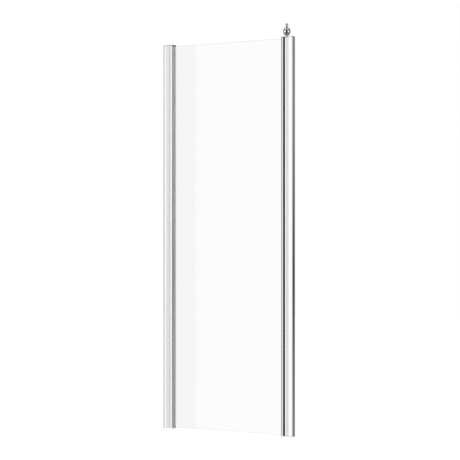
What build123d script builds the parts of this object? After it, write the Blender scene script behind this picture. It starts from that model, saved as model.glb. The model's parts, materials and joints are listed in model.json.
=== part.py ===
from build123d import *
import math
import os

# Shower side panel: a fixed sheet of glass between a wall channel and a fluted post.
# X runs from the wall to the free end, Y through the panel with the room side at -Y,
# and Z up from the shower tray. X = 0 is the wall, Y = 0 the middle of the glass, Z = 0 the tray.

# Overall sizes, in millimetres
panel_width = 800.0
profile_height = 1950.0
profile_depth = 33.0
glass_thickness = 6.0

# Wall channel, a U that is open away from the wall
channel_reach = 41.0
channel_web = 2.4
channel_wall = 1.6
wall_hole_radius = 2.75
wall_hole_margin = 150.0
wall_hole_count = 4
screw_head_room = 5.6
channel_back_round = 2.0

# Glazing profile, which slides in the wall channel
travel = 20.0
slide_gap = 0.35
run_gap = 0.4
glazing_show = 18.0
glazing_wall = 1.5

# Grip of the glass, the same in both uprights
slot_depth = 16.0
gasket_thickness = 3.2
gasket_grip = 11.0
gasket_lip = 1.2
gasket_lip_height = 1.6
gasket_flange = 2.0
gasket_flange_drop = 1.0
packer_thickness = 2.0
packer_length = 60.0
packer_margin = 300.0
packer_count = 3
glass_arris = 0.5

# Gap above and below the glass, and the shoes under its lower corners
glass_top_drop = 8.0
shoe_floor = 3.0
shoe_height = 7.0
shoe_nose = 4.0
seat_gap = 0.1

# Post, with a ridge and a flute down its front, and the same down its back
post_width = 48.5
post_wall = 1.8
ridge_width = 13.3
ridge_drop = 2.7
ridge_bow = 0.3
flute_from_glass_side = 24.6
flute_depth = 7.7
flute_radius = 8.0
flank_slope = 42.0
field_slope = 8.0
post_corner = 1.2

# Joining channel on the post, and the bowed strip that covers it
joining_width = 18.0
joining_web = 2.0
joining_wall = 1.6
cover_edge = 2.4
cover_bow = 3.8
cover_leg = 2.1
cover_leg_reach = 4.6
cover_gap = 0.2
bead_radius = 0.7
bead_from_leg_end = 1.9
bead_bite = 0.2
joining_screw_radius = 2.1
joining_screw_length = 12.0
joining_head_radius = 4.0
joining_head_height = 2.6
joining_screw_margin = 75.0
joining_screw_count = 5
door_hole_radius = 2.1
door_hole_margin = 150.0
door_hole_count = 4
door_hole_from_web = 2.6

# Caps and foot plates
cap_thickness = 4.0
cap_edge = 1.2
tongue_thickness = 1.3
foot_thickness = 3.0
plug_length = 12.0
plug_gap = 0.2
corner_round = 1.0

# Clamp screws through the channel's inner leg
clamp_margin = 200.0
clamp_count = 3
clamp_from_rear = 7.0
clamp_radius = 2.5
clamp_hole_gap = 0.1
clamp_head_radius = 4.6
clamp_head_height = 3.0
clamp_tail = 2.0
washer_radius = 7.5
washer_thickness = 1.0
washer_lift = 0.3
nut_flats = 8.0
nut_height = 4.0
thread_gap = 0.05
cover_cup_radius = 6.2
cover_cup_wall = 1.2
cover_cup_room = 0.4

# Finial and its stud
finial_height = 64.7
finial_foot_radius = 8.5
finial_foot_height = 2.2
finial_waist_radius = 7.0
finial_waist_height = 3.4
finial_belly_radius = 19.2
finial_belly_height = 23.5
finial_flank_radius = 14.6
finial_flank_height = 12.5
finial_throat_radius = 13.2
finial_collar_radius = 14.4
finial_collar_bottom = 36.0
finial_collar_top = 42.6
finial_neck_radius = 6.2
finial_neck_height = 48.5
finial_ball_radius = 8.6
stud_radius = 3.0
stud_fit = 0.08
stud_gap = 0.1
stud_in_finial = 28.0
stud_tail = 3.0
stud_nut_flats = 10.0
stud_nut_height = 5.0
finial_washer_radius = 9.5
finial_washer_thickness = 1.0
finial_lift = 0.3

# Places worked out from the sizes above
half_depth = profile_depth / 2
half_glass = glass_thickness / 2
half_slot = half_glass + gasket_thickness
cap_bottom = profile_height - cap_thickness

channel_half_room = half_depth - channel_wall
glazing_half = channel_half_room - slide_gap
glazing_rear = channel_web + screw_head_room
glazing_head = channel_reach + slide_gap
glazing_front = channel_reach + glazing_show
glazing_slot = glazing_front - slot_depth
glazing_top = cap_bottom - tongue_thickness - run_gap
rear_chamber = (glazing_rear + glazing_wall, glazing_slot - glazing_wall)
rear_chamber_half = glazing_half - glazing_wall

post_outer = panel_width - joining_width
post_inner = post_outer - post_width
post_slot = post_inner + slot_depth
ridge_start = half_depth - ridge_drop
ridge_end = post_inner + ridge_width
flute_x = post_inner + flute_from_glass_side
flute_half = half_depth - flute_depth
post_neck_half = flute_half - post_wall
post_chamber = (post_slot + post_wall, post_outer - post_wall)

cover_corner = panel_width - cover_bow
cover_seat = cover_corner - cover_edge
joining_half_room = half_depth - joining_wall

glass_bottom = foot_thickness + shoe_floor
glass_top = profile_height - glass_top_drop
glass_left = glazing_slot + packer_thickness
glass_right = post_slot - packer_thickness
shoe_top = foot_thickness + shoe_height

# How far a drill runs past a wall, and how near an edge lies to the height it is found by
drill_over = 1.0
near = 0.01

clamp_x = glazing_rear + clamp_from_rear
finial_x = flute_x
finial_seat = profile_height + finial_washer_thickness


def spread(margin, count):
    """Heights of count equal places, the outer two a margin inside the profiles' ends."""
    step = (profile_height - 2 * margin) / (count - 1)
    return [margin + i * step for i in range(count)]


def flat(x0, x1, y0, y1):
    """A rectangle in plan, from corner to corner."""
    return Pos((x0 + x1) / 2, (y0 + y1) / 2) * Rectangle(x1 - x0, y1 - y0)


def flat_both(x0, x1, y0, y1):
    """The same rectangle in front of the glass and behind it."""
    return flat(x0, x1, y0, y1) + flat(x0, x1, -y1, -y0)


def upright(plan, z0, z1):
    """A plan section extruded from one height to another."""
    return Pos(0, 0, z0) * extrude(plan, amount=z1 - z0)


def rounded(plan, radius, where):
    """A plan section with the chosen corners rounded."""
    return fillet([v for v in plan.vertices() if where(v)], radius)


def across(radius, y0, y1, x, z):
    """A round bar through the panel, from front to back."""
    return Pos(x, y0, z) * Rot(-90, 0, 0) * extrude(Circle(radius), amount=y1 - y0)


def along(radius, x0, x1, y, z):
    """A round bar along the panel."""
    return Pos(x0, y, z) * Rot(0, 90, 0) * extrude(Circle(radius), amount=x1 - x0)


def ring(outer, inner, z0, z1):
    """An upright ring on the origin's axis."""
    return upright(Circle(outer) - Circle(inner), z0, z1)


def hexagon(flats):
    """A hexagon with the given size across its flats."""
    return RegularPolygon(flats / 2, 6, major_radius=False)


def softened(solid, height, radius):
    """A cap or head with its edges at one height rounded."""
    edges = solid.edges().filter_by_position(Axis.Z, height - near, height + near)
    return fillet(edges, radius)


# Plan sections

def channel_outline():
    outer = flat(0, channel_reach, -half_depth, half_depth)
    outer = rounded(outer, corner_round, lambda v: v.X > channel_web)
    return rounded(outer, channel_back_round, lambda v: v.X < near)


def channel_plan():
    room = flat(channel_web, channel_reach, -channel_half_room, channel_half_room)
    return channel_outline() - room


def glazing_head_outline():
    head = flat(glazing_head, glazing_front, -half_depth, half_depth)
    return rounded(head, corner_round, lambda v: True)


def glazing_outline():
    """The part that slides in the channel, and the head that stands out of it, flush with the channel."""
    body = flat(glazing_rear, glazing_head + corner_round, -glazing_half, glazing_half)
    return rounded(body, corner_round, lambda v: v.X < glazing_head) + glazing_head_outline()


def glazing_plan():
    slot = flat(glazing_slot, glazing_front, -half_slot, half_slot)
    rear = flat(*rear_chamber, -rear_chamber_half, rear_chamber_half)
    side_end = glazing_front - glazing_wall
    side = flat_both(glazing_slot, side_end, half_slot + glazing_wall, rear_chamber_half)
    side += flat_both(glazing_head + glazing_wall, side_end, half_slot + glazing_wall, half_depth - glazing_wall)
    return glazing_outline() - slot - rear - side


def post_face(side):
    """One face of the post in plan: the ridge by the glass, the flute's steep flank and round floor, the field."""
    tilt, rise = math.radians(flank_slope), math.radians(field_slope)
    round_start = (flute_x - flute_radius * math.sin(tilt), flute_half + flute_radius * (1 - math.cos(tilt)))
    round_end = (flute_x + flute_radius * math.sin(rise), flute_half + flute_radius * (1 - math.cos(rise)))
    flank_run = round_start[0] - ridge_end
    ridge_top = round_start[1] + flank_run * math.tan(tilt)
    ridge_middle = ((post_inner + ridge_end) / 2, (ridge_start + ridge_top) / 2 + ridge_bow)
    field_end = round_end[1] + (post_outer - round_end[0]) * math.tan(rise)

    def at(x, y):
        return (x, side * y)

    return [
        ThreePointArc(at(post_inner, ridge_start), at(*ridge_middle), at(ridge_end, ridge_top)),
        Line(at(ridge_end, ridge_top), at(*round_start)),
        ThreePointArc(at(*round_start), at(flute_x, flute_half), at(*round_end)),
        Line(at(*round_end), at(post_outer, field_end)),
    ]


def post_outline():
    front, back = post_face(-1), post_face(1)
    ends = [Line(front[0] @ 0, back[0] @ 0), Line(front[-1] @ 1, back[-1] @ 1)]
    outer = make_face(Curve(front + back + ends))
    return rounded(outer, post_corner, lambda v: v.X < ridge_end + near)


def post_chamber_plan(gap=0.0):
    """The room inside the post, as wide as the flutes leave it."""
    x0, x1 = post_chamber
    return flat(x0 + gap, x1 - gap, -post_neck_half + gap, post_neck_half - gap)


def post_plan():
    slot = flat(post_inner, post_slot, -half_slot, half_slot)
    side = flat_both(post_inner + post_wall, ridge_end - post_wall, half_slot + post_wall,
                     ridge_start - post_wall)
    return post_outline() - slot - side - post_chamber_plan()


def bead_places():
    """Where the cover's beads click into the joining channel's legs."""
    x = cover_seat - cover_leg_reach + bead_from_leg_end
    y = joining_half_room - cover_gap + bead_bite + cover_gap / 2 - bead_radius
    return [Location((x, side * y)) for side in (-1, 1)]


def joining_plan():
    outer = flat(post_outer, cover_seat, -half_depth, half_depth)
    room = flat(post_outer + joining_web, cover_seat, -joining_half_room, joining_half_room)
    grooves = [place * Circle(bead_radius + cover_gap) for place in bead_places()]
    return outer - room - grooves


def bowed(x0):
    """A section in plan from x0 to the free end, which bows out between two rounded corners."""
    corners = [(cover_corner, -half_depth), (x0, -half_depth), (x0, half_depth), (cover_corner, half_depth)]
    end = ThreePointArc(corners[0], (panel_width, 0), corners[-1])
    plan = make_face(Curve([Polyline(*corners), end]))
    return rounded(plan, corner_round, lambda v: v.X > cover_corner - near)


def cover_plan():
    """The bowed plate, hollowed out between its two legs, and the legs with their beads."""
    leg_outer = joining_half_room - cover_gap
    leg_inner = leg_outer - cover_leg
    hollow = [(cover_seat, -leg_inner), (panel_width - cover_edge, 0), (cover_seat, leg_inner)]
    room = make_face(Curve([ThreePointArc(*hollow), Line(hollow[-1], hollow[0])]))
    plate = bowed(cover_seat) - room
    legs = flat_both(cover_seat - cover_leg_reach, cover_seat, leg_inner, leg_outer)
    beads = [place * Circle(bead_radius) for place in bead_places()]
    return plate + legs + beads


# Wall side

def wall_channel():
    body = upright(channel_plan(), 0, cap_bottom)
    for z in spread(wall_hole_margin, wall_hole_count):
        body -= along(wall_hole_radius, 0, channel_web, 0, z)
    slot_half = clamp_radius + run_gap
    for z in spread(clamp_margin, clamp_count):
        for x in (clamp_x, clamp_x + travel):
            body -= across(slot_half, 0, half_depth, x, z)
        middle = clamp_x + travel / 2
        body -= Pos(middle, half_depth / 2, z) * Box(travel, half_depth, 2 * slot_half)
    return body


def wall_channel_cap():
    plate = upright(channel_outline(), cap_bottom, profile_height)
    body = softened(plate, profile_height, cap_edge)
    plug_half = channel_half_room - plug_gap
    plug = flat(channel_web + plug_gap, glazing_rear - run_gap, -plug_half, plug_half)
    return body + upright(plug, cap_bottom - plug_length, cap_bottom)


# Glazing profile and what holds it

def glazing_profile():
    body = upright(glazing_plan(), foot_thickness, glazing_top)
    hole = clamp_radius + clamp_hole_gap
    for z in spread(clamp_margin, clamp_count):
        body -= across(hole, rear_chamber_half - drill_over, glazing_half + drill_over, clamp_x, z)
    return body


def rear_plug(z0, z1):
    x0, x1 = rear_chamber
    half = rear_chamber_half - plug_gap
    return upright(flat(x0 + plug_gap, x1 - plug_gap, -half, half), z0, z1)


def glazing_cap():
    tongue = upright(glazing_outline(), glazing_top, glazing_top + tongue_thickness)
    head = upright(glazing_head_outline(), glazing_top + tongue_thickness, profile_height)
    head = softened(head, profile_height, cap_edge)
    return tongue + head + rear_plug(glazing_top - plug_length, glazing_top)


def glazing_foot():
    plate = upright(glazing_outline(), 0, foot_thickness)
    return plate + rear_plug(foot_thickness, foot_thickness + plug_length)


def clamp_places():
    return [Location((clamp_x, 0, z)) for z in spread(clamp_margin, clamp_count)]


def turned_out(solid):
    """A piece made with its axis up, laid so that it points to the back of the panel."""
    return Rot(-90, 0, 0) * solid


def clamp_screws():
    seat = half_depth + washer_lift + washer_thickness
    tail = rear_chamber_half - nut_height - clamp_tail
    shank = upright(Circle(clamp_radius), tail, seat)
    head_top = seat + clamp_head_height
    head = softened(upright(Circle(clamp_head_radius), seat, head_top), head_top, cap_edge)
    recess = upright(hexagon(clamp_radius), head_top - clamp_head_height / 2, head_top)
    screw = turned_out(shank + head - recess)
    return [place * screw for place in clamp_places()]


def clamp_washers():
    z0 = half_depth + washer_lift
    washer = turned_out(ring(washer_radius, clamp_radius + clamp_hole_gap, z0, z0 + washer_thickness))
    return [place * washer for place in clamp_places()]


def clamp_nuts():
    plan = hexagon(nut_flats) - Circle(clamp_radius + thread_gap)
    nut = turned_out(upright(plan, rear_chamber_half - nut_height, rear_chamber_half))
    return [place * nut for place in clamp_places()]


def clamp_covers():
    z0 = half_depth + washer_lift + washer_thickness
    room_top = z0 + clamp_head_height + cover_cup_room
    top = room_top + cover_cup_wall
    cup = softened(upright(Circle(cover_cup_radius), z0, top), top, cap_edge)
    cup = turned_out(cup - upright(Circle(cover_cup_radius - cover_cup_wall), z0, room_top))
    return [place * cup for place in clamp_places()]


# Glass and its grip

def glass_pane():
    width = glass_right - glass_left
    height = glass_top - glass_bottom
    pane = Pos((glass_left + glass_right) / 2, 0, (glass_bottom + glass_top) / 2) * Box(
        width, glass_thickness, height)
    return chamfer(pane.edges(), glass_arris)


def shoe(back, way, nose):
    """A shoe in the foot of a slot, with the glass's corner let into it. The way points out of the slot."""
    end = back + way * (slot_depth + nose)
    edge = back + way * packer_thickness
    half = half_slot - seat_gap
    room_half = half_glass + seat_gap
    body = upright(flat(*sorted((back, end)), -half, half), foot_thickness, shoe_top)
    return body - upright(flat(*sorted((edge, end)), -room_half, room_half), glass_bottom, shoe_top)


def gasket_outline(mouth, way):
    """A wedge strip beside the glass, with a sloping lip at the slot's mouth. The way points out of the slot."""
    return [
        (mouth - way * gasket_grip, half_glass),
        (mouth + way * gasket_lip, half_glass),
        (mouth, half_glass + gasket_lip_height),
        (mouth, half_slot),
        (mouth - way * gasket_grip, half_slot),
    ]


def flanged_outline(mouth, way):
    """The same strip, with a flange that covers the edge of the profile."""
    far = half_depth - gasket_flange_drop
    return [
        (mouth - way * gasket_grip, half_glass),
        (mouth + way * gasket_flange, half_glass),
        (mouth + way * gasket_flange, far - gasket_flange_drop),
        (mouth + way * gasket_flange_drop, far),
        (mouth, far),
        (mouth, half_slot),
        (mouth - way * gasket_grip, half_slot),
    ]


def gasket(outline, side):
    line = Polyline(*[(x, side * y) for x, y in outline], close=True)
    return upright(make_face(line), shoe_top, glass_top)


def packers():
    blocks = []
    for x0 in (glazing_slot, glass_right):
        plan = flat(x0, x0 + packer_thickness, -half_glass, half_glass)
        for z in spread(packer_margin, packer_count):
            blocks.append(upright(plan, z - packer_length / 2, z + packer_length / 2))
    return blocks


# Post and joining channel

def joining_screw_places():
    return spread(joining_screw_margin, joining_screw_count)


def corner_post():
    body = upright(post_plan(), foot_thickness, cap_bottom)
    hole = joining_screw_radius + thread_gap
    for z in joining_screw_places():
        body -= along(hole, post_outer - post_wall - drill_over, post_outer, 0, z)
    return body


def post_cap():
    body = softened(upright(post_outline(), cap_bottom, profile_height), profile_height, cap_edge)
    body += upright(post_chamber_plan(plug_gap), cap_bottom - plug_length, cap_bottom)
    stud_hole = upright(Circle(stud_radius + stud_gap), cap_bottom - plug_length, profile_height)
    return body - Pos(finial_x, 0) * stud_hole


def post_foot():
    plug = upright(post_chamber_plan(plug_gap), foot_thickness, foot_thickness + plug_length)
    return upright(post_outline(), 0, foot_thickness) + plug


def joining_channel():
    body = upright(joining_plan(), foot_thickness, cap_bottom)
    for z in joining_screw_places():
        body -= along(joining_screw_radius + thread_gap, post_outer, post_outer + joining_web, 0, z)
    door_x = post_outer + joining_web + door_hole_from_web
    for z in spread(door_hole_margin, door_hole_count):
        body -= across(door_hole_radius, joining_half_room - drill_over, half_depth, door_x, z)
    return body


def cover_strip():
    return upright(cover_plan(), foot_thickness, cap_bottom)


def joining_screws():
    seat = post_outer + joining_web
    screws = []
    for z in joining_screw_places():
        shank = along(joining_screw_radius, seat - joining_screw_length, seat, 0, z)
        head = along(joining_head_radius, seat, seat + joining_head_height, 0, z)
        outer = head.edges().filter_by_position(Axis.X, seat + joining_head_height - near, panel_width)
        screws.append(shank + fillet(outer, cap_edge))
    return screws


def joining_plug(z0, z1):
    half = joining_half_room - plug_gap
    x0 = post_outer + joining_web + plug_gap
    x1 = cover_seat - cover_leg_reach - plug_gap
    return upright(flat(x0, x1, -half, half), z0, z1)


def joining_outline():
    return bowed(post_outer)


def joining_cap():
    body = softened(upright(joining_outline(), cap_bottom, profile_height), profile_height, cap_edge)
    return body + joining_plug(cap_bottom - plug_length, cap_bottom)


def joining_foot():
    plate = upright(joining_outline(), 0, foot_thickness)
    return plate + joining_plug(foot_thickness, foot_thickness + plug_length)


# Finial

def finial_profile():
    """Half of the finial's outline, turned about the Z axis: foot, urn, collar, neck and ball."""
    foot = Polyline((0, 0), (finial_foot_radius, 0), (finial_foot_radius, finial_foot_height),
                    (finial_waist_radius, finial_waist_height))
    urn = Spline((finial_waist_radius, finial_waist_height), (finial_flank_radius, finial_flank_height),
                 (finial_belly_radius, finial_belly_height), (finial_throat_radius, finial_collar_bottom))
    collar = Polyline((finial_throat_radius, finial_collar_bottom),
                      (finial_collar_radius, finial_collar_bottom),
                      (finial_collar_radius, finial_collar_top),
                      (finial_throat_radius, finial_collar_top))
    shoulder = Spline((finial_throat_radius, finial_collar_top), (finial_neck_radius, finial_neck_height),
                      tangents=[(-1, 0.1), (0, 1)])
    centre = finial_height - finial_ball_radius
    ball_start = centre - math.sqrt(finial_ball_radius ** 2 - finial_neck_radius ** 2)
    neck = Line((finial_neck_radius, finial_neck_height), (finial_neck_radius, ball_start))
    ball = ThreePointArc((finial_neck_radius, ball_start), (finial_ball_radius, centre), (0, finial_height))
    axis = Line((0, finial_height), (0, 0))
    return make_face(Plane.XZ * Curve([foot, urn, collar, shoulder, neck, ball, axis]))


def finial():
    body = revolve(finial_profile(), Axis.Z)
    bore = upright(Circle(stud_radius + stud_fit), 0, stud_in_finial + finial_lift)
    return Pos(finial_x, 0, finial_seat + finial_lift) * (body - bore)


def nut_seat():
    return cap_bottom - plug_length


def finial_stud():
    z0 = nut_seat() - stud_nut_height - stud_tail
    return Pos(finial_x, 0) * upright(Circle(stud_radius), z0, finial_seat + stud_in_finial)


def finial_washer():
    return Pos(finial_x, 0) * ring(finial_washer_radius, stud_radius + stud_gap, profile_height, finial_seat)


def finial_nut():
    """The nut's flats face along the panel, so that it fits between the flutes."""
    plan = Rot(0, 0, 30) * hexagon(stud_nut_flats) - Circle(stud_radius + thread_gap)
    return Pos(finial_x, 0) * upright(plan, nut_seat() - stud_nut_height, nut_seat())


pieces = {
    "wall_channel": wall_channel(),
    "wall_channel_cap": wall_channel_cap(),
    "glazing_profile": glazing_profile(),
    "glazing_cap": glazing_cap(),
    "glazing_foot": glazing_foot(),
    "clamp_screws": clamp_screws(),
    "clamp_washers": clamp_washers(),
    "clamp_nuts": clamp_nuts(),
    "clamp_covers": clamp_covers(),
    "glass_pane": glass_pane(),
    "glass_shoe_wall_side": shoe(glazing_slot, 1, shoe_nose),
    "glass_shoe_post_side": shoe(post_slot, -1, 0.0),
    "gasket_wall_side_front": gasket(gasket_outline(glazing_front, 1), -1),
    "gasket_wall_side_back": gasket(flanged_outline(glazing_front, 1), 1),
    "gasket_post_side_front": gasket(gasket_outline(post_inner, -1), -1),
    "gasket_post_side_back": gasket(gasket_outline(post_inner, -1), 1),
    "glass_packers": packers(),
    "corner_post": corner_post(),
    "post_cap": post_cap(),
    "post_foot": post_foot(),
    "joining_channel": joining_channel(),
    "joining_screws": joining_screws(),
    "cover_strip": cover_strip(),
    "joining_cap": joining_cap(),
    "joining_foot": joining_foot(),
    "finial": finial(),
    "finial_stud": finial_stud(),
    "finial_washer": finial_washer(),
    "finial_nut": finial_nut(),
}

os.makedirs("parts", exist_ok=True)
for name, piece in pieces.items():
    shape = Compound(children=piece) if isinstance(piece, list) else piece
    export_step(shape, f"parts/{name}.step")
    print(name, round(shape.volume, 1), "mm3")
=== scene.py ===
# %% [markdown]
# # Dressing a shower side panel
#
# A fixed sheet of glass stands between two bright metal uprights. The shapes of the uprights, the
# glass and the screws come from the CAD model, so this file mostly has to make the finishes, a few
# finer shapes, and a studio in which polished metal looks like polished metal.
#
# We start by loading the CAD model.

import json
import math

import bmesh
import bpy
import numpy as np
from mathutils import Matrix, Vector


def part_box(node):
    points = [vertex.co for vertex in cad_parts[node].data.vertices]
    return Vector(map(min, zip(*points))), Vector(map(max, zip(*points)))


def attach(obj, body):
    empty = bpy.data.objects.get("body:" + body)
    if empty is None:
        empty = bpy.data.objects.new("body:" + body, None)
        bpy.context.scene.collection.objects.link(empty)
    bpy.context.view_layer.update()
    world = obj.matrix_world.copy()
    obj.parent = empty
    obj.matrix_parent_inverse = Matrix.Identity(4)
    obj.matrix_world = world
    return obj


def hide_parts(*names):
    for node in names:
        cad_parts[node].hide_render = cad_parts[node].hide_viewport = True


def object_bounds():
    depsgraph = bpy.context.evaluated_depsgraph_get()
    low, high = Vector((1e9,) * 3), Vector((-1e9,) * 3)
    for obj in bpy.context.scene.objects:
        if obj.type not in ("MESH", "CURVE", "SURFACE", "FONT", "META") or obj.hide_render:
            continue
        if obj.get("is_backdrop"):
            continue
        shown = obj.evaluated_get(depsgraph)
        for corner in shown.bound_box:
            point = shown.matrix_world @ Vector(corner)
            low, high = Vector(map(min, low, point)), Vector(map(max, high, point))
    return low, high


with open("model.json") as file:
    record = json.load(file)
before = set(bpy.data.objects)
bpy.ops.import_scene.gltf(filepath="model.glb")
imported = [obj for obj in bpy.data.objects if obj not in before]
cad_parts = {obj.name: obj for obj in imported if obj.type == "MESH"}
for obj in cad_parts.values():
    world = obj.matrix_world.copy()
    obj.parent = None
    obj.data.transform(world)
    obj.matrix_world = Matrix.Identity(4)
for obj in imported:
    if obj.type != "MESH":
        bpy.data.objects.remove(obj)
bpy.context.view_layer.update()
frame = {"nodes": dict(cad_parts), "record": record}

MM = 0.001

# %% [markdown]
# ## The camera
#
# The panel was seen from about ten metres away with a long lens: the near upright is only four
# percent taller in the picture than the far one, and the uprights don't lean. A level camera
# that is turned 36.7 degrees gives both. Its height is where the panel's top and bottom edges
# would meet, and a small vertical shift, instead of a tilt, puts the panel in the frame.

# %% Camera
yaw = math.radians(36.695)
distance = 9.963
sideways = 0.01027
camera_height = 0.969
frame_pixels = 460
focal_pixels = 1998.0
sensor = 36.0
shift_pixels = (0.0, 7.78)

right = np.array([math.cos(yaw), math.sin(yaw)])
ahead = np.array([-math.sin(yaw), math.cos(yaw)])
stand = np.array([0.4, 0.0]) + sideways * right - distance * ahead

camera_data = bpy.data.cameras.new("camera")
camera_data.sensor_width = sensor
camera_data.lens = sensor * focal_pixels / frame_pixels
camera_data.shift_x = shift_pixels[0] / frame_pixels
camera_data.shift_y = shift_pixels[1] / frame_pixels
camera_data.clip_end = 100
camera = bpy.data.objects.new("camera", camera_data)
camera.location = (*stand, camera_height)
camera.rotation_euler = (math.radians(90), 0, yaw)
bpy.context.scene.collection.objects.link(camera)
bpy.context.scene.camera = camera
bpy.context.scene.view_settings.view_transform = "Standard"
print("camera at", [round(float(v), 3) for v in camera.location], "lens", round(camera_data.lens, 1), "mm")

# %% [markdown]
# ## Two small helpers for materials
#
# Colours are written as hex values, the way a paint program shows them, and one function turns
# them into the linear values that the renderer works with. A second function adds a node with its
# settings and links, so that a material reads as a list of steps.


# %% Colour and node helpers
def linear(hex_colour):
    """Each channel c of an sRGB colour becomes c / 12.92 below 0.04045, else ((c + 0.055) / 1.055) ^ 2.4."""
    c = np.array([int(hex_colour[i:i + 2], 16) for i in (1, 3, 5)]) / 255
    return (*np.where(c <= 0.04045, c / 12.92, ((c + 0.055) / 1.055) ** 2.4).tolist(), 1.0)


def add(tree, kind, settings=None, **inputs):
    """A node of one kind in a node tree. Each input is a constant, or another node's output to link."""
    node = tree.nodes.new("ShaderNode" + kind)
    for key, value in (settings or {}).items():
        setattr(node, key, value)
    for key, value in inputs.items():
        name = key.replace("_", " ")
        socket = node.inputs[int(name[1:])] if name[0] == "i" and name[1:].isdigit() else node.inputs[name]
        if isinstance(value, bpy.types.NodeSocket):
            tree.links.new(value, socket)
        else:
            socket.default_value = value
    return node


def math_node(tree, operation, *values, clamp=False):
    """One step of arithmetic, as an output that other nodes can read."""
    inputs = {f"i{n}": value for n, value in enumerate(values)}
    return add(tree, "Math", {"operation": operation, "use_clamp": clamp}, **inputs).outputs[0]


# %% [markdown]
# ## The studio
#
# Polished metal has no colour of its own to show. It shows the room, so the room is designed
# first. Round the panel we imagine what a photographer puts there: large white screens, and black
# cards between them that draw dark lines down the metal.
#
# The world's brightness depends first on the compass direction, which is measured from the panel's
# front (-Y) towards its free end (+X), and then a little on the height. Only reflected rays see
# the screens and cards.

# %% World
CAMERA_SIDE = 36.7
SOFT_LIGHT = 0.95

# Compass direction in degrees from the camera, and the brightness there
screens = [
    (-180, 0.42), (-112, 0.34), (-98, 0.34), (-90, 0.64), (-84, 1.00), (-79, 1.20), (-70, 1.25),
    (-40, 1.15), (-31, 0.90), (-23, 0.01), (23, 0.01), (31, 0.90), (40, 1.10), (71, 1.10), (78, 0.60),
    (84, 0.0), (122, 0.0),
    (138, 0.30), (160, 0.42), (180, 0.42),
]

world = bpy.data.worlds.new("studio")
bpy.context.scene.world = world
world.use_nodes = True
tree = world.node_tree
tree.nodes.clear()

way = add(tree, "TexCoord").outputs["Generated"]
part = add(tree, "SeparateXYZ", Vector=way).outputs
compass = math_node(tree, "ARCTAN2", part["X"], math_node(tree, "MULTIPLY", part["Y"], -1.0))
degrees = math_node(tree, "MULTIPLY", compass, 180 / math.pi)
turned = math_node(tree, "SUBTRACT", degrees, CAMERA_SIDE)
wrapped = math_node(tree, "WRAP", turned, 180.0, -180.0)
place = math_node(tree, "DIVIDE", math_node(tree, "ADD", wrapped, 180.0), 360.0)
ramp = add(tree, "ValToRGB", Fac=place)
stops = ramp.color_ramp.elements
ends = {-180: stops[0], 180: stops[1]}
for angle, level in screens:
    stop = ends.get(angle) or stops.new((angle + 180) / 360)
    stop.color = (level, level, level, 1)
print(len(stops), "stops round the compass")

# %% [markdown]
# The glass shows one more thing: left of a straight upright line it is a little darker. A narrow
# dim gap between two screens does that, because each place on the glass reflects its own
# direction. The gap's edge is sharp, and a colour ramp is only stored in 256 steps, so the gap is
# cut with two comparisons.
#
# The card beside the panel's free end is darkest a little below the middle of the panel, and a
# little light leaks over it and under it. Above and below the screens the room is darker, which
# gives the finial its dark lower half. Straight up it is pale again, as a white ceiling would be.

# %% World, the gap between the screens, and up and down
# Compass directions of the gap's two edges in degrees from the front, and its brightness
gap_edge, gap_end, gap_level = -37.684, -39.4, 0.55
before_edge = math_node(tree, "LESS_THAN", degrees, gap_edge)
after_end = math_node(tree, "GREATER_THAN", degrees, gap_end)
in_gap = math_node(tree, "MULTIPLY", before_edge, after_end)
kept_share = math_node(tree, "SUBTRACT", 1.0, math_node(tree, "MULTIPLY", in_gap, 1 - gap_level))
dimmed = math_node(tree, "MULTIPLY", ramp.outputs["Color"], kept_share)

# The card: where it is darkest, how far from there the leak is full, and its levels there
card_from, card_middle, leak_reach, leak_level, card_level = 60.0, -0.02, 0.085, 0.21, 0.01
height = part["Z"]
off_middle = math_node(tree, "ABSOLUTE", math_node(tree, "SUBTRACT", height, card_middle))
spread = math_node(tree, "DIVIDE", off_middle, leak_reach, clamp=True)
leak = math_node(tree, "ADD", math_node(tree, "MULTIPLY", spread, leak_level), card_level)
on_card = math_node(tree, "GREATER_THAN", wrapped, card_from)
with_leak = math_node(tree, "MAXIMUM", dimmed, math_node(tree, "MULTIPLY", leak, on_card))


def between(value, start, end, first, last):
    """A smooth step from the first level to the last, while the value goes from start to end."""
    return add(tree, "MapRange", {"interpolation_type": "SMOOTHSTEP"}, Value=value, From_Min=start,
               From_Max=end, To_Min=first, To_Max=last).outputs[0]


# Shares of the screens' light above and below them, and the levels straight down and straight up
above, below = 0.36, 0.24
floor_tone, ceiling_tone = 0.12, 0.85
banded = math_node(tree, "MULTIPLY", with_leak, between(height, 0.20, 0.50, 1.0, above))
banded = math_node(tree, "MULTIPLY", banded, between(height, -0.32, -0.60, 1.0, below))
sunk = add(tree, "Mix", {"data_type": "FLOAT"}, Factor=between(height, -0.85, -0.98, 0.0, 1.0), A=banded,
           B=floor_tone).outputs[0]
room = add(tree, "Mix", {"data_type": "FLOAT"}, Factor=between(height, 0.92, 0.99, 0.0, 1.0), A=sunk,
           B=ceiling_tone).outputs[0]

# %% [markdown]
# Which rays see the room? Those that have been reflected at least once by something shiny, even
# when they pass through the glass afterwards. Straight rays see white, also through the glass.
# Sampling the world as a lamp would mix up those cases, so it is switched off. With light this
# even, it isn't missed.

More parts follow.
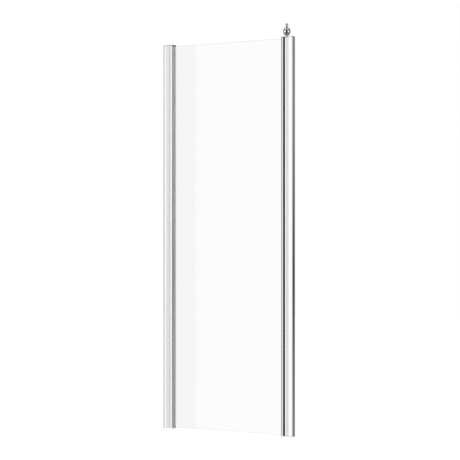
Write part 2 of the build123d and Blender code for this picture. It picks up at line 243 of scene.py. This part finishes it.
# %% World, by kind of ray
path = add(tree, "LightPath").outputs
straight = math_node(tree, "MAXIMUM", path["Is Camera Ray"], path["Is Transmission Ray"])
reflected = math_node(tree, "GREATER_THAN", path["Glossy Depth"], 0.5)
not_soft = math_node(tree, "SUBTRACT", 1.0, path["Is Diffuse Ray"])
in_room = math_node(tree, "MULTIPLY", reflected, not_soft)
plain = add(tree, "Mix", {"data_type": "FLOAT"}, Factor=straight, A=SOFT_LIGHT, B=1.0).outputs[0]
level = add(tree, "Mix", {"data_type": "FLOAT"}, Factor=in_room, A=plain, B=room).outputs[0]
background = add(tree, "Background", Color=(1, 1, 1, 1), Strength=level)
tree.links.new(background.outputs[0], add(tree, "OutputWorld").inputs["Surface"])
world.cycles.sampling_method = "NONE"

# %% [markdown]
# ## The floor and one lamp
#
# The floor is a pale sheet. The camera sees it nearly plain white, with a trace of real shading
# that keeps the panel's shadow, and through the glass it is plain white. Reflected rays pass
# through it, so that the metal shows the same screens all the way down to its foot. One large
# lamp, which reflections don't show, gives the nylon and the gaskets a light side and a dark side.


# %% Floor and lamp
def stage_floor():
    """A flat square at Z = 0, far wider than the view, with its middle under the panel."""
    half = 12.0
    corners = [(x * half + 0.4, y * half, 0.0) for x, y in ((-1, -1), (1, -1), (1, 1), (-1, 1))]
    mesh = bpy.data.meshes.new("studio_floor")
    mesh.from_pydata(corners, [], [(0, 1, 2, 3)])
    floor = bpy.data.objects.new("studio_floor", mesh)
    bpy.context.scene.collection.objects.link(floor)
    material = bpy.data.materials.new("painted floor, pale and matt")
    material.use_nodes = True
    nodes = material.node_tree
    nodes.nodes.clear()
    grain = add(nodes, "TexNoise", Scale=60.0, Detail=3.0).outputs["Fac"]
    tone = add(nodes, "MapRange", Value=grain, From_Min=0.3, From_Max=0.7, To_Min=0.86,
               To_Max=0.90).outputs[0]
    paint = add(nodes, "BsdfDiffuse", Color=tone).outputs[0]
    sight = add(nodes, "LightPath").outputs
    direct = math_node(nodes, "MULTIPLY", sight["Is Camera Ray"], 0.85)
    white = math_node(nodes, "MAXIMUM", direct, sight["Is Transmission Ray"])
    strength = add(nodes, "Mix", {"data_type": "FLOAT"}, Factor=sight["Is Camera Ray"], A=1.0,
                   B=1.1).outputs[0]
    plain = add(nodes, "Emission", Color=(1, 1, 1, 1), Strength=strength).outputs[0]
    mixed = add(nodes, "MixShader", Fac=white, i1=paint, i2=plain).outputs[0]
    clear = add(nodes, "BsdfTransparent").outputs[0]
    reflected = math_node(nodes, "GREATER_THAN", sight["Glossy Depth"], 0.5)
    through = add(nodes, "MixShader", Fac=reflected, i1=mixed, i2=clear).outputs[0]
    nodes.links.new(through, add(nodes, "OutputMaterial").inputs["Surface"])
    mesh.materials.append(material)
    floor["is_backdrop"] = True
    return floor


stage_floor()

lamp_data = bpy.data.lights.new("soft_lamp", "AREA")
lamp_data.shape = "RECTANGLE"
lamp_data.size, lamp_data.size_y = 3.0, 2.5
lamp_data.energy = 90
lamp = bpy.data.objects.new("soft_lamp", lamp_data)
lamp.location = (-1.6, -3.2, 3.6)
lamp.rotation_euler = (math.radians(46), 0, math.radians(-32))
lamp.visible_glossy = lamp.visible_transmission = lamp.visible_camera = False
bpy.context.scene.collection.objects.link(lamp)

# %% [markdown]
# ## Finishes
#
# Each material is named for what the real one is and how its surface was made. They share a start:
# a Principled shader, and the object's own coordinates in metres, so that a pattern keeps its
# real size.

# %% Material start
materials = {}


def begin(name, **values):
    """A new material whose Principled shader has the given constants. Gives its tree, shader and place."""
    material = bpy.data.materials.new(name)
    material.use_nodes = True
    nodes = material.node_tree
    nodes.nodes.clear()
    shader = add(nodes, "BsdfPrincipled", **values)
    out = add(nodes, "OutputMaterial")
    nodes.links.new(shader.outputs[0], out.inputs["Surface"])
    materials[name] = material
    return nodes, shader, add(nodes, "TexCoord").outputs["Object"], out


def stretched(nodes, place, scale, turn=(0.0, 0.0, 0.0)):
    """Coordinates multiplied by a scale for each axis, for a pattern that is longer one way than another."""
    return add(nodes, "Mapping", Vector=place, Scale=scale, Rotation=turn).outputs[0]


def waves_per_mm(size):
    """A noise texture has about one blob to a unit, so a blob of size mm needs 1 / size units to the mm."""
    return 1 / (size * MM)


# %% [markdown]
# ### Bright anodised aluminium
#
# The uprights are extruded: hot aluminium is pushed through a steel die, which leaves faint
# straight lines along its whole length. They are then polished and anodised bright, which looks
# almost like chrome, but a little softer and slightly wavy across the width. The lines are real
# shape, so they belong in the bump and not in the colour: broad waves a finger wide, and fine die
# lines, which are drawn coarser than the real ones so that they show at all. The clear oxide
# gives the metal a faint milky veil, so a few hundredths of it reflect like paint.

# %% Aluminium
nodes, shader, place, _ = begin(
    "anodised aluminium, extruded and polished", Metallic=0.95, Roughness=0.07, Base_Color=linear("#F5F6F6"))
along = 0.02
broad = add(nodes, "TexNoise", Scale=1.0, Detail=0.0, Vector=stretched(
    nodes, place, (waves_per_mm(17), waves_per_mm(17), waves_per_mm(17) * along * 0.2))).outputs["Fac"]
lines = add(nodes, "TexNoise", Scale=1.0, Detail=2.0, Vector=stretched(
    nodes, place, (waves_per_mm(1.6), waves_per_mm(1.6), waves_per_mm(1.6) * along * 0.1))).outputs["Fac"]
wavy = add(nodes, "Bump", Strength=1.0, Distance=0.16 * MM, Height=broad).outputs[0]
lined = add(nodes, "Bump", Strength=1.0, Distance=0.0035 * MM, Height=lines, Normal=wavy).outputs[0]
nodes.links.new(lined, shader.inputs["Normal"])
sheen = add(nodes, "MapRange", Value=lines, From_Min=0.3, From_Max=0.7, To_Min=0.05, To_Max=0.09).outputs[0]
nodes.links.new(sheen, shader.inputs["Roughness"])
tint = add(nodes, "MixRGB", Fac=broad, Color1=linear("#F2F3F4"), Color2=linear("#F7F8F8")).outputs[0]
nodes.links.new(tint, shader.inputs["Base Color"])

# %% [markdown]
# ### Chrome plate on plastic, and on brass
#
# The caps and the screw covers are moulded ABS with a chrome plate, which is bright but never
# quite flat: it has the slight orange peel of the moulding. The finial is brass, turned on a lathe
# and polished before it was plated, so its marks run round it.

# %% Chrome plate
nodes, shader, place, _ = begin(
    "chrome plate on moulded ABS", Metallic=1.0, Roughness=0.07, Base_Color=linear("#F1F2F3"))
peel = add(nodes, "TexNoise", Scale=waves_per_mm(2.2), Detail=1.0, Vector=place).outputs["Fac"]
nodes.links.new(add(nodes, "Bump", Strength=1.0, Distance=0.008 * MM, Height=peel).outputs[0],
                shader.inputs["Normal"])
haze = add(nodes, "TexNoise", Scale=waves_per_mm(9), Detail=3.0, Vector=place).outputs["Fac"]
nodes.links.new(add(nodes, "MapRange", Value=haze, From_Min=0.3, From_Max=0.7, To_Min=0.05, To_Max=0.10)
                .outputs[0], shader.inputs["Roughness"])

nodes, shader, place, _ = begin(
    "chrome plate on turned brass", Metallic=1.0, Roughness=0.04, Base_Color=linear("#F4F5F6"))
rings = add(nodes, "TexNoise", Scale=1.0, Detail=2.0, Vector=stretched(
    nodes, place, (waves_per_mm(60), waves_per_mm(60), waves_per_mm(0.7)))).outputs["Fac"]
nodes.links.new(add(nodes, "Bump", Strength=1.0, Distance=0.0015 * MM, Height=rings).outputs[0],
                shader.inputs["Normal"])
nodes.links.new(add(nodes, "MapRange", Value=rings, From_Min=0.3, From_Max=0.7, To_Min=0.02, To_Max=0.045)
                .outputs[0], shader.inputs["Roughness"])

# %% [markdown]
# ### Toughened glass
#
# Clear float glass hardly has a colour, but through its cut edges it is green. Its faces are
# perfectly smooth, and its edges and arrises are ground, which makes them white and matt. Where
# the pane's own edges are is known from its box, so the same material finds them by height and
# by distance along the panel. Shadow rays pass through, as glass this clear throws hardly any.

# %% Glass
nodes, shader, place, out = begin(
    "toughened float glass, 6 mm", Base_Color=linear("#F9F9F9"), IOR=1.52, Roughness=0.0,
    Transmission_Weight=1.0)
low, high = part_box("glass_pane")
middle = [(low[i] + high[i]) / 2 for i in range(3)]
half = [(high[i] - low[i]) / 2 for i in range(3)]
inside = add(nodes, "VectorMath", {"operation": "SUBTRACT"}, i0=place, i1=middle).outputs[0]
inside = add(nodes, "VectorMath", {"operation": "ABSOLUTE"}, i0=inside).outputs[0]
apart = add(nodes, "SeparateXYZ", Vector=inside).outputs
ground_depth = 0.55 * MM
at_side = math_node(nodes, "GREATER_THAN", apart["X"], half[0] - ground_depth)
at_end = math_node(nodes, "GREATER_THAN", apart["Z"], half[2] - ground_depth)
ground = math_node(nodes, "MAXIMUM", at_side, at_end)
grit = add(nodes, "TexNoise", Scale=waves_per_mm(0.8), Detail=2.0, Vector=place).outputs["Fac"]
grind = add(nodes, "MapRange", Value=grit, From_Min=0.0, From_Max=1.0, To_Min=0.3, To_Max=0.6).outputs[0]
rough = math_node(nodes, "MULTIPLY", ground, grind)
nodes.links.new(rough, shader.inputs["Roughness"])
pale = add(nodes, "MixRGB", Fac=ground, Color1=linear("#F9F9F9"), Color2=linear("#CFE3DA")).outputs[0]
nodes.links.new(pale, shader.inputs["Base Color"])
clear = add(nodes, "BsdfTransparent", Color=linear("#F9FBFA")).outputs[0]
shadow = add(nodes, "LightPath").outputs["Is Shadow Ray"]
nodes.links.new(add(nodes, "MixShader", Fac=shadow, i1=shader.outputs[0], i2=clear).outputs[0],
                out.inputs["Surface"])

# %% [markdown]
# ### Seals, blocks and screws
#
# The gaskets are soft PVC, extruded without pigment, so they are milky and let some light in. The
# shoes, packers and foot plates are moulded nylon, pale grey, with the fine matt texture of a
# spark-eroded mould. The screws and washers are stainless steel, cut by a tool that leaves rings.

# %% Seals, blocks and screws
nodes, shader, place, _ = begin(
    "soft PVC, extruded and translucent", Base_Color=linear("#F4F6F6"), Roughness=0.38, IOR=1.53,
    Subsurface_Weight=0.15, Subsurface_Scale=0.003, Subsurface_Radius=(1.0, 1.0, 1.0))
draw = add(nodes, "TexNoise", Scale=1.0, Detail=2.0, Vector=stretched(
    nodes, place, (waves_per_mm(1.2), waves_per_mm(1.2), waves_per_mm(60)))).outputs["Fac"]
nodes.links.new(add(nodes, "Bump", Strength=1.0, Distance=0.02 * MM, Height=draw).outputs[0],
                shader.inputs["Normal"])
nodes.links.new(add(nodes, "MixRGB", Fac=draw, Color1=linear("#F0F2F2"), Color2=linear("#F8F9F9")).outputs[0],
                shader.inputs["Base Color"])

nodes, shader, place, _ = begin(
    "nylon, moulded and spark textured", Base_Color=linear("#C6C9CB"), Roughness=0.5, IOR=1.53,
    Subsurface_Weight=0.15, Subsurface_Scale=0.002, Subsurface_Radius=(1.0, 1.0, 1.0))
pits = add(nodes, "TexVoronoi", {"feature": "SMOOTH_F1"}, Scale=waves_per_mm(0.9),
           Vector=place).outputs["Distance"]
nodes.links.new(add(nodes, "Bump", Strength=0.7, Distance=0.05 * MM, Height=pits).outputs[0],
                shader.inputs["Normal"])
flow = add(nodes, "TexNoise", Scale=waves_per_mm(14), Detail=4.0, Vector=place).outputs["Fac"]
nodes.links.new(add(nodes, "MixRGB", Fac=flow, Color1=linear("#BDC0C3"), Color2=linear("#CED1D2")).outputs[0],
                shader.inputs["Base Color"])

nodes, shader, place, _ = begin(
    "stainless steel, turned", Metallic=1.0, Roughness=0.28, Base_Color=linear("#C9C8C6"))
tool = add(nodes, "TexNoise", Scale=waves_per_mm(0.5), Detail=2.0, Vector=place).outputs["Fac"]
nodes.links.new(add(nodes, "Bump", Strength=1.0, Distance=0.01 * MM, Height=tool).outputs[0],
                shader.inputs["Normal"])
nodes.links.new(add(nodes, "MapRange", Value=tool, From_Min=0.3, From_Max=0.7, To_Min=0.22, To_Max=0.36)
                .outputs[0], shader.inputs["Roughness"])

print(len(materials), "materials")

# %% [markdown]
# ## Dressing the CAD nodes
#
# Every node of the CAD model names the slot that its finish belongs to. The slots and our
# materials match one to one, so one table dresses them all.

# %% Dress the nodes
finish_of = {
    "bright_profile": "anodised aluminium, extruded and polished",
    "bright_cap": "chrome plate on moulded ABS",
    "plated_brass": "chrome plate on turned brass",
    "clear_glass": "toughened float glass, 6 mm",
    "clear_seal": "soft PVC, extruded and translucent",
    "moulded_block": "nylon, moulded and spark textured",
    "stainless_screw": "stainless steel, turned",
}
slot_of = {part["node"]: part["material_slot"] for part in frame["record"]["subparts"]}
for name, node in frame["nodes"].items():
    node.data.materials.clear()
    node.data.materials.append(materials[finish_of[slot_of[name]]])
print(len(slot_of), "nodes dressed")

# %% [markdown]
# ## Shapes that gain detail
#
# Some pieces deserve finer shapes than the CAD model has. Each is a surface worked out from a few
# numbers, and most stand in for a CAD node. Four functions are shared: one turns arrays into a
# piece, one draws a curved corner, one carries a section along a straight line, and one turns a
# profile round an axis.

# %% Surfaces
def piece(name, points, faces, slot_name, body, stands_for, sharp=35):
    """A closed mesh with smooth faces, and sharp edges where two faces meet at more than the angle."""
    mesh = bpy.data.meshes.new(name)
    mesh.from_pydata(np.asarray(points).tolist(), [], faces)
    mesh.polygons.foreach_set("use_smooth", np.ones(len(mesh.polygons), dtype=bool))
    mesh.set_sharp_from_angle(angle=math.radians(sharp))
    mesh.materials.append(materials[finish_of[slot_name]])
    made = bpy.data.objects.new(name, mesh)
    bpy.context.scene.collection.objects.link(made)
    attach(made, body)
    if stands_for:
        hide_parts(stands_for)
    print(name, len(mesh.vertices), "vertices")
    return made


def bend(start, corner, end, steps=8):
    """A parabola from start to end whose end tangents meet at the corner. Its last point is left out."""
    t = np.linspace(0, 1, steps, endpoint=False)[:, None]
    start, corner, end = (np.array(p, dtype=float) for p in (start, corner, end))
    return (1 - t) ** 2 * start + 2 * t * (1 - t) * corner + t ** 2 * end


def straight_strip(section, z0, z1):
    """Points and faces of a closed section (x, y), carried straight up from z0 to z1."""
    x, y = section.T
    if np.sum(x * np.roll(y, -1) - np.roll(x, -1) * y) < 0:
        section = section[::-1]
    n = len(section)
    points = np.concatenate([np.column_stack([section, np.full(n, z)]) for z in (z0, z1)])
    i = np.arange(n)
    j = (i + 1) % n
    walls = np.column_stack([i, j, j + n, i + n]).tolist()
    return points, walls + [i[::-1].tolist(), (i + n).tolist()]


def turned_surface(profile, axis, base, around=128):
    """Points (r, z) turned about an upright axis: x = r cos t, y = r sin t. The ends lie on the axis."""
    turn = np.linspace(0, 2 * np.pi, around, endpoint=False)
    r, z = profile[1:-1].T
    rings = np.stack([r[:, None] * np.cos(turn) + axis[0], r[:, None] * np.sin(turn) + axis[1],
                      np.repeat(z[:, None] + base, around, axis=1)], axis=-1).reshape(-1, 3)
    poles = [(*axis, profile[0][1] + base), (*axis, profile[-1][1] + base)]
    k, i = np.meshgrid(np.arange(len(r) - 1), np.arange(around), indexing="ij")
    j = (i + 1) % around
    quads = np.stack([k * around + i, k * around + j, (k + 1) * around + j, (k + 1) * around + i],
                     axis=-1).reshape(-1, 4)
    i = np.arange(around)
    j = (i + 1) % around
    last = (len(r) - 1) * around
    bottom = np.column_stack([j, i, np.full(around, len(rings))])
    top = np.column_stack([last + i, last + j, np.full(around, len(rings) + 1)])
    return np.concatenate([rings, poles]), quads.tolist() + bottom.tolist() + top.tolist()


# %% [markdown]
# ### The gaskets
#
# A gasket is a strip of soft PVC that is pushed between the glass and the metal. It ends in a thin
# lip that curls against the glass, and one of the four also has a flange that covers the
# profile's edge, which shows through the glass as a pale line. The model's gaskets have straight
# lips and touch the glass exactly. Here the lips are curved and stop a hair short of the glass,
# because two surfaces in the same place would confuse the renderer.

# %% Gaskets
hair = 0.06 * MM
lip_rise = 1.6 * MM
gasket_reach = 1.2 * MM
flange_reach = 2.0 * MM


def lip_section(grip, reach, near, rise, far):
    """Section (u, v): u out of the slot, v away from the glass. The lip's tip and back are curved."""
    tip = (reach - 0.2 * MM, near + 0.45 * MM)
    return np.concatenate([
        [(-grip, near)],
        bend((reach - 0.4 * MM, near), (reach + 0.1 * MM, near), tip),
        bend(tip, (0.15 * MM, near + 0.5 * rise), (0.0, near + rise)),
        [(0.0, near + rise), (0.0, far), (-grip, far)],
    ])


def flange_section(grip, reach, near, top, far):
    """The same strip with a flange of even thickness, rounded at both ends."""
    soft = 0.7 * MM
    return np.concatenate([
        [(-grip, near)],
        bend((reach - soft, near), (reach, near), (reach, near + soft)),
        bend((reach, top - 2 * soft), (reach, top), (reach - 2 * soft, top)),
        [(0.0, top), (0.0, far), (-grip, far)],
    ])


slot_wall = {}
for node, way in (("gasket_wall_side_front", 1), ("gasket_wall_side_back", 1),
                  ("gasket_post_side_front", -1), ("gasket_post_side_back", -1)):
    low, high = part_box(node)
    side = 1 if low[1] > 0 else -1
    near, far = sorted((abs(low[1]), abs(high[1])))
    slot_wall[node] = far
    flanged = node == "gasket_wall_side_back"
    reach = flange_reach if flanged else gasket_reach
    mouth = high[0] - reach if way > 0 else low[0] + reach
    grip = high[0] - low[0] - reach
    inner = slot_wall["gasket_wall_side_front"] - hair
    section = (flange_section(grip, reach, near + hair, far, inner) if flanged
               else lip_section(grip, reach, near + hair, lip_rise, far - hair))
    flat = np.column_stack([mouth + way * section[:, 0], side * section[:, 1]])
    piece("strip_" + node, *straight_strip(flat, low[2], high[2]), "clear_seal", "panel", node)

# %% [markdown]
# ### The finial
#
# The finial is turned from a brass bar: a foot, an urn, a flat collar and a ball on a short neck.
# A lathe's tool leaves no corner quite sharp, so each one gets a small round here. The ball is
# drawn a little narrower than it is tall.

# %% Finial
# Radii and heights in mm
foot_radius, foot_top, edge = 8.5, 2.2, 0.4
waist = (7.0, 3.4)
urn_heights = np.array([3.4, 12.5, 23.5, 36.0])
urn_radii = np.array([7.0, 14.6, 19.2, 13.2])
urn_start, urn_end = 3.9, 35.5
collar_radius, collar_bottom, collar_top, collar_round = 14.4, 36.0, 42.6, 0.7
neck_radius, neck_height = 5.2, 48.5
ball_centre, ball_wide, ball_tall = 56.1, 7.3, 8.6

# The urn's radius is the cubic through four points, and the ball is half an ellipse above the neck
urn = np.polyfit(urn_heights, urn_radii, 3)
z = np.linspace(urn_start, urn_end, 56)
lowest = -math.acos(neck_radius / ball_wide)
angle = np.linspace(lowest, math.pi / 2, 32)[1:-1]
inner = collar_radius - collar_round
profile = np.concatenate([
    [(0.0, 0.0)],
    bend((foot_radius - edge, 0.0), (foot_radius, 0.0), (foot_radius, edge), 6),
    bend((foot_radius, foot_top - 0.5), (foot_radius, foot_top), (foot_radius - edge, foot_top + 0.3), 6),
    bend((7.3, 3.1), waist, (np.polyval(urn, urn_start), urn_start), 6),
    np.column_stack([np.polyval(urn, z), z]),
    bend((np.polyval(urn, urn_end), urn_end), (urn_radii[-1], collar_bottom), (inner, collar_bottom), 4)[1:],
    bend((inner, collar_bottom), (collar_radius, collar_bottom),
         (collar_radius, collar_bottom + collar_round), 6),
    bend((collar_radius, collar_top - collar_round), (collar_radius, collar_top), (inner, collar_top), 6),
    bend((12.6, 42.7), (neck_radius + 0.4, 43.2), (neck_radius, neck_height), 14),
    [(neck_radius, neck_height), (neck_radius, ball_centre + ball_tall * math.sin(lowest) - 0.2)],
    np.column_stack([ball_wide * np.cos(angle), ball_centre + ball_tall * np.sin(angle)]),
    [(0.0, ball_centre + ball_tall)],
]) * MM
low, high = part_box("finial")
piece("turned_finial", *turned_surface(profile, ((low[0] + high[0]) / 2, 0.0), low[2]), "plated_brass",
      "finial", "finial")

# %% [markdown]
# ### A low rib down the wall channel
#
# Beside the wall a thin dark line and a thin bright line run down the channel together. That is
# how a low rib looks in polished metal, with one flank turned to the dark side of the room and the
# other to the light. Its height is a hyperbola across its width: two straight flanks and a rounded
# crest. The rib is part of the real extrusion. Here it is a strip of its own,
# its back buried a little in the channel's wall, because the CAD model's channel is left as it is.

# %% Rib
rib_start, rib_end, rib_rise, rib_root = 4.6 * MM, 17.4 * MM, 1.9 * MM, 0.4 * MM
low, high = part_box("wall_channel")
across = np.linspace(0, 1, 33)
crest = 0.12
swell = rib_rise * (1 - np.hypot(2 * across - 1, crest)) / (1 - crest)
for side, label in ((-1, "front"), (1, "back")):
    face = high[1]
    front = np.column_stack([rib_start + (rib_end - rib_start) * across, side * (face + swell)])
    root = [(rib_end, side * (face - rib_root)), (rib_start, side * (face - rib_root))]
    piece(f"wall_channel_rib_{label}", *straight_strip(np.concatenate([front, root]), low[2], high[2]),
          "bright_profile", "wall_side", None)

# %% [markdown]
# ### Softer edges on the caps
#
# A moulded cap never has a knife edge, because the mould's corners are rounded. The CAD caps have
# sharp ones. A copy of each cap gets a small bevel, which catches a fine line of light or shade
# along the top, as the real ones do.

# %% Caps
cap_round = 0.8 * MM
sharp_from = math.radians(40)
for node, body in (("wall_channel_cap", "wall_side"), ("glazing_cap", "panel"), ("post_cap", "panel"),
                   ("joining_cap", "panel")):
    copy = frame["nodes"][node].data.copy()
    copy.name = "soft_" + node
    shape = bmesh.new()
    shape.from_mesh(copy)
    bmesh.ops.remove_doubles(shape, verts=shape.verts, dist=0.001 * MM)
    top = max(v.co.z for v in shape.verts)
    rim = [edge for edge in shape.edges if len(edge.link_faces) == 2
           and edge.calc_face_angle() > sharp_from
           and all(v.co.z > top - 0.01 * MM for v in edge.verts)]
    bmesh.ops.bevel(shape, geom=rim, offset=cap_round, segments=4, profile=0.5, affect="EDGES",
                    clamp_overlap=True)
    shape.to_mesh(copy)
    shape.free()
    copy.polygons.foreach_set("use_smooth", np.ones(len(copy.polygons), dtype=bool))
    copy.set_sharp_from_angle(angle=math.radians(35))
    copy.materials.clear()
    copy.materials.append(materials[finish_of["bright_cap"]])
    soft = bpy.data.objects.new("soft_" + node, copy)
    bpy.context.scene.collection.objects.link(soft)
    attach(soft, body)
    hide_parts(node)
    print(node, len(rim), "edges rounded")

# %% [markdown]
# ## Last: the box round everything that is shown

# %% Finish
low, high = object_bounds()
